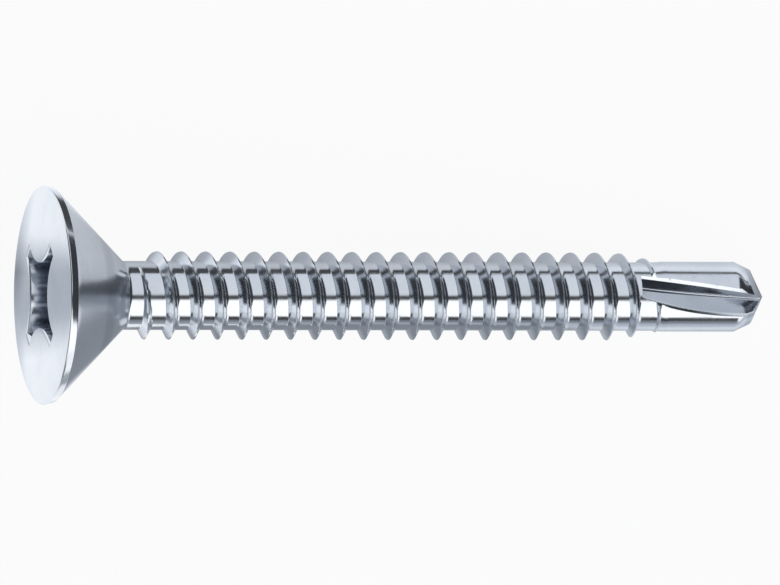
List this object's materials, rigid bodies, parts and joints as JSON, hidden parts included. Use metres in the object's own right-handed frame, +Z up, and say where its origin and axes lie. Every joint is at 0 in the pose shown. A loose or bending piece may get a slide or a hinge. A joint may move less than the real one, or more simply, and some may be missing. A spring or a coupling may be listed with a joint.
{
  "type": "self drilling screw",
  "caption": "Countersunk self drilling screw with a cross recess, a right-hand tapping thread and a fluted drill point, lying on its side.",
  "frame": {"origin": "centre of the bounding box's footprint, on the flat surface that the screw lies on", "axes": "+X along the screw towards the drill tip, +Z up; the screw's own axis lies in the XZ plane and dips about 6.1 degrees towards the tip"},
  "size_m": [0.0538, 0.0154, 0.0154],
  "materials": {
    "bright_zinc": "bright blue-white zinc plating over cold-formed steel, smooth and nearly mirror-like"
  },
  "bodies": {
    "root": {"screw": "bright_zinc"}
  },
  "joints": []
}
